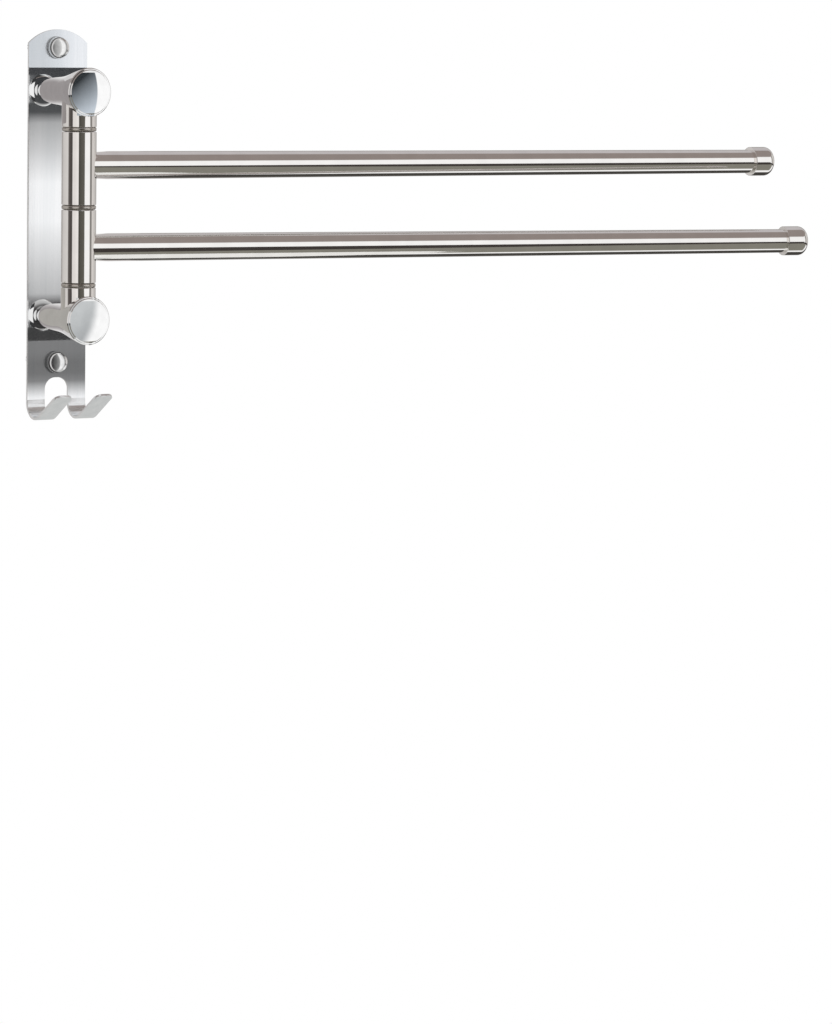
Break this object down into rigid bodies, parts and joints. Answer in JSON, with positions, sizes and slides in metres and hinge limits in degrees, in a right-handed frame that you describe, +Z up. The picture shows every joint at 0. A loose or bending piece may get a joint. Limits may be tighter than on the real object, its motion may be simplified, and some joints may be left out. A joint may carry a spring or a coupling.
{
  "type": "swing arm towel bar",
  "caption": "Wall-mounted towel rail: an upright hinge barrel on flared posts carries swinging tube arms, above a brushed plate with bent hooks.",
  "frame": {"origin": "back face of the plate, on its centre line, midway between the two posts", "axes": "+Z up along the plate, +Y into the wall, the arms stand out towards -Y and +X"},
  "size_m": [0.4863, 0.1535, 0.225],
  "materials": {
    "plate_steel": "brushed along its height",
    "post_chrome": "polished, slightly satin",
    "bright_chrome": "mirror polished",
    "ring_steel": "satin",
    "screw_chrome": "polished",
    "zinc_steel": "zinc plated",
    "axle_steel": "turned",
    "bush_plastic": "moulded acetal",
    "plug_plastic": "moulded nylon"
  },
  "bodies": {
    "root": {"axle_rod": "axle_steel", "back_plate": "plate_steel", "lower_axle_nut": "zinc_steel", "lower_axle_washer": "zinc_steel", "lower_end_collar": "bright_chrome", "lower_foot_ring": "post_chrome", "lower_post": "post_chrome", "lower_post_bolt": "zinc_steel", "lower_post_cap": "post_chrome", "lower_screw_cover": "screw_chrome", "lower_screw_washer": "screw_chrome", "lower_spacer_ring": "ring_steel", "lower_wall_plug": "plug_plastic", "lower_wall_screw": "zinc_steel", "middle_spacer_ring": "ring_steel", "upper_axle_nut": "zinc_steel", "upper_axle_washer": "zinc_steel", "upper_end_collar": "bright_chrome", "upper_foot_ring": "post_chrome", "upper_post": "post_chrome", "upper_post_bolt": "zinc_steel", "upper_post_cap": "post_chrome", "upper_screw_cover": "screw_chrome", "upper_screw_washer": "screw_chrome", "upper_spacer_ring": "ring_steel", "upper_wall_plug": "plug_plastic", "upper_wall_screw": "zinc_steel"},
    "upper_arm": {"upper_arm_sleeve": "bright_chrome", "upper_arm_top_bush": "bush_plastic", "upper_arm_bottom_bush": "bush_plastic", "upper_arm_tube": "bright_chrome", "upper_arm_end_cap": "bright_chrome"},
    "lower_arm": {"lower_arm_sleeve": "bright_chrome", "lower_arm_top_bush": "bush_plastic", "lower_arm_bottom_bush": "bush_plastic", "lower_arm_tube": "bright_chrome", "lower_arm_end_cap": "bright_chrome"}
  },
  "joints": [
    {"name": "upper_arm_swing", "type": "hinge", "parent": "root", "child": "upper_arm", "pos_m": [-0.0097, -0.0437, 0.02155], "axis": [0, 0, 1], "range_deg": [-176.4, 3.6]},
    {"name": "lower_arm_swing", "type": "hinge", "parent": "root", "child": "lower_arm", "pos_m": [-0.0097, -0.0437, -0.02295], "axis": [0, 0, 1], "range_deg": [-171.25, 8.75]}
  ]
}
